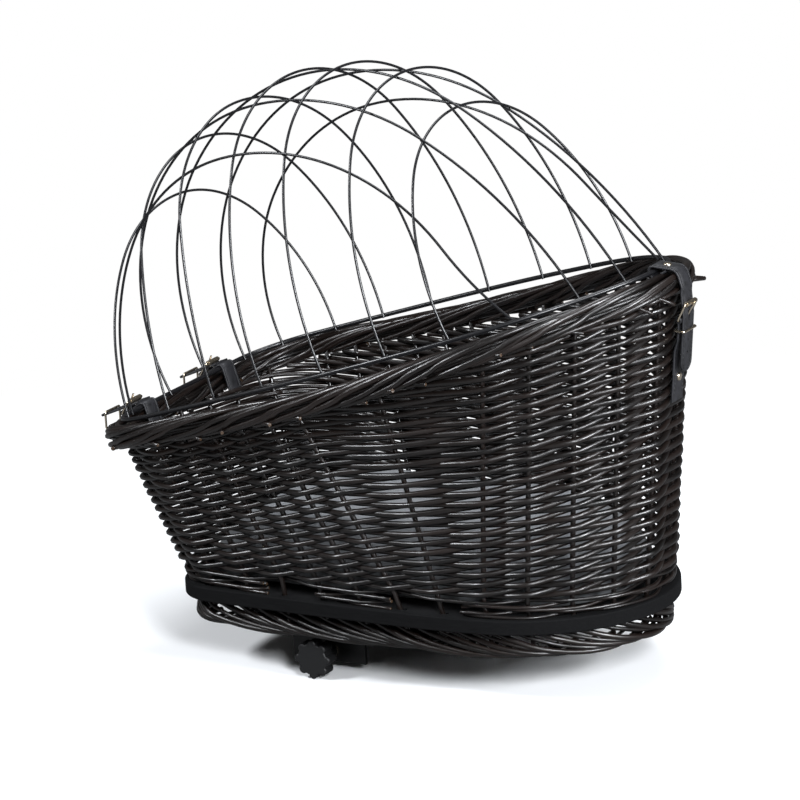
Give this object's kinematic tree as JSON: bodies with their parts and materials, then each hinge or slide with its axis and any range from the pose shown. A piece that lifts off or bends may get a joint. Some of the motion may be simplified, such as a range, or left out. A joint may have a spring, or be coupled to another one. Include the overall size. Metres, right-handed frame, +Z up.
{
  "type": "dog bicycle basket",
  "caption": "Dark stained willow carrier basket for a small dog, with a hinged wire dome, buckled leather straps and a knob-tightened clamp for a bicycle rack.",
  "frame": {"origin": "centre of the clamp plate underside, where the rack touches it", "axes": "+X to the rear of the bicycle, +Y to its right-hand side, +Z up"},
  "size_m": [0.5573, 0.344, 0.5232],
  "materials": {
    "stained_willow": "dark stained and lacquered willow rods",
    "painted_board": "black painted plywood, matt",
    "cushion_cloth": "light grey woven cloth",
    "dome_wire": "black coated wire, satin",
    "strap_leather": "black leather with edge stitching",
    "nickel_plate": "bright nickel plate",
    "coated_steel": "black coated steel, satin",
    "zinc_steel": "bright zinc plate",
    "knob_plastic": "black moulded plastic"
  },
  "bodies": {
    "root": {"base_board": "painted_board", "foot_border": "stained_willow", "stakes": "stained_willow", "waling_band": "stained_willow", "wall_weave": "stained_willow", "rim_border": "stained_willow", "cushion": "cushion_cloth", "front_strap_left": "strap_leather", "front_strap_right": "strap_leather", "front_buckle_left": "nickel_plate", "front_buckle_right": "nickel_plate", "rear_buckle": "nickel_plate", "rear_anchor": "strap_leather", "rear_anchor_rivet": "nickel_plate", "mounting_plate": "coated_steel", "battens": "painted_board", "batten_bolts": "zinc_steel", "batten_nuts": "zinc_steel", "cross_rod": "zinc_steel"},
    "dome": {"dome_ring": "dome_wire", "arch_cross_1": "dome_wire", "arch_cross_2": "dome_wire", "arch_cross_3": "dome_wire", "arch_cross_4": "dome_wire", "arch_cross_5": "dome_wire", "arch_cross_6": "dome_wire", "arch_cross_7": "dome_wire", "arch_long_1": "dome_wire", "arch_long_2": "dome_wire", "arch_long_3": "dome_wire", "arch_long_4": "dome_wire", "arch_long_5": "dome_wire"},
    "rear_strap": {"rear_billet": "strap_leather", "rear_billet_rivet": "nickel_plate"},
    "rear_roller": {"rear_roller": "nickel_plate"},
    "rear_prong": {"rear_prong": "nickel_plate"},
    "rear_keeper": {"rear_keeper": "nickel_plate"},
    "front_roller_left": {"front_roller_left": "nickel_plate"},
    "front_roller_right": {"front_roller_right": "nickel_plate"},
    "front_prong_left": {"front_prong_left": "nickel_plate"},
    "front_prong_right": {"front_prong_right": "nickel_plate"},
    "front_keeper_left": {"front_keeper_left": "nickel_plate"},
    "front_keeper_right": {"front_keeper_right": "nickel_plate"},
    "clamp_left": {"clamp_bracket_left": "coated_steel", "guide_screws_left": "zinc_steel", "guide_nuts_left": "zinc_steel", "clamp_washer_left": "nickel_plate"},
    "clamp_right": {"clamp_bracket_right": "coated_steel", "guide_screws_right": "zinc_steel", "guide_nuts_right": "zinc_steel", "clamp_washer_right": "nickel_plate"},
    "knob_left": {"star_knob_left": "knob_plastic"},
    "knob_right": {"star_knob_right": "knob_plastic"}
  },
  "joints": [
    {"name": "dome_hinge", "type": "hinge", "parent": "root", "child": "dome", "pos_m": [-0.17597, 0, 0.1875], "axis": [0, -1, 0], "range_deg": [0, 85]},
    {"name": "rear_strap_swing", "type": "hinge", "parent": "dome", "child": "rear_strap", "pos_m": [0.30004, 0, 0.32724], "axis": [0, 1, 0], "range_deg": [0, 85], "deforming": ["rear_billet"]},
    {"name": "rear_roller_turn", "type": "hinge", "parent": "root", "child": "rear_roller", "pos_m": [0.32905, 0, 0.30081], "axis": [0, 1, 0], "continuous": true},
    {"name": "rear_prong_lift", "type": "hinge", "parent": "root", "child": "rear_prong", "pos_m": [0.32155, 0, 0.28651], "axis": [0, 1, 0], "range_deg": [0, 20]},
    {"name": "rear_keeper_slide", "type": "slide", "parent": "root", "child": "rear_keeper", "axis": [-0.1022, 0, -0.9948], "range_m": [-0.003, 0.006]},
    {"name": "front_roller_left_turn", "type": "hinge", "parent": "root", "child": "front_roller_left", "pos_m": [-0.18848, -0.066, 0.19158], "axis": [0, 1, 0], "continuous": true},
    {"name": "front_prong_left_lift", "type": "hinge", "parent": "root", "child": "front_prong_left", "pos_m": [-0.19541, -0.066, 0.18047], "axis": [0, -1, 0], "range_deg": [0, 20]},
    {"name": "front_keeper_left_swing", "type": "hinge", "parent": "root", "child": "front_keeper_left", "pos_m": [-0.21308, -0.066, 0.1804], "axis": [0, 1, 0], "range_deg": [-40, 40]},
    {"name": "front_roller_right_turn", "type": "hinge", "parent": "root", "child": "front_roller_right", "pos_m": [-0.18848, 0.066, 0.19158], "axis": [0, 1, 0], "continuous": true},
    {"name": "front_prong_right_lift", "type": "hinge", "parent": "root", "child": "front_prong_right", "pos_m": [-0.19541, 0.066, 0.18047], "axis": [0, -1, 0], "range_deg": [0, 20]},
    {"name": "front_keeper_right_swing", "type": "hinge", "parent": "root", "child": "front_keeper_right", "pos_m": [-0.21308, 0.066, 0.1804], "axis": [0, 1, 0], "range_deg": [-40, 40]},
    {"name": "clamp_left_slide", "type": "slide", "parent": "root", "child": "clamp_left", "axis": [0, 1, 0], "range_m": [0, 0.01]},
    {"name": "knob_left_turn", "type": "hinge", "parent": "clamp_left", "child": "knob_left", "pos_m": [0, 0, -0.0175], "axis": [0, 1, 0], "range_deg": [0, 2880.1]},
    {"name": "clamp_right_slide", "type": "slide", "parent": "root", "child": "clamp_right", "axis": [0, -1, 0], "range_m": [0, 0.01]},
    {"name": "knob_right_turn", "type": "hinge", "parent": "clamp_right", "child": "knob_right", "pos_m": [0, 0, -0.0175], "axis": [0, -1, 0], "range_deg": [0, 2880.1]}
  ],
  "couplings": [
    {"joint": "rear_strap_swing", "follows": "dome_hinge", "ratio": 1},
    {"joint": "knob_left_turn", "follows": "clamp_left_slide", "rad_per_m": 5026.5},
    {"joint": "knob_right_turn", "follows": "clamp_right_slide", "rad_per_m": 5026.5}
  ]
}
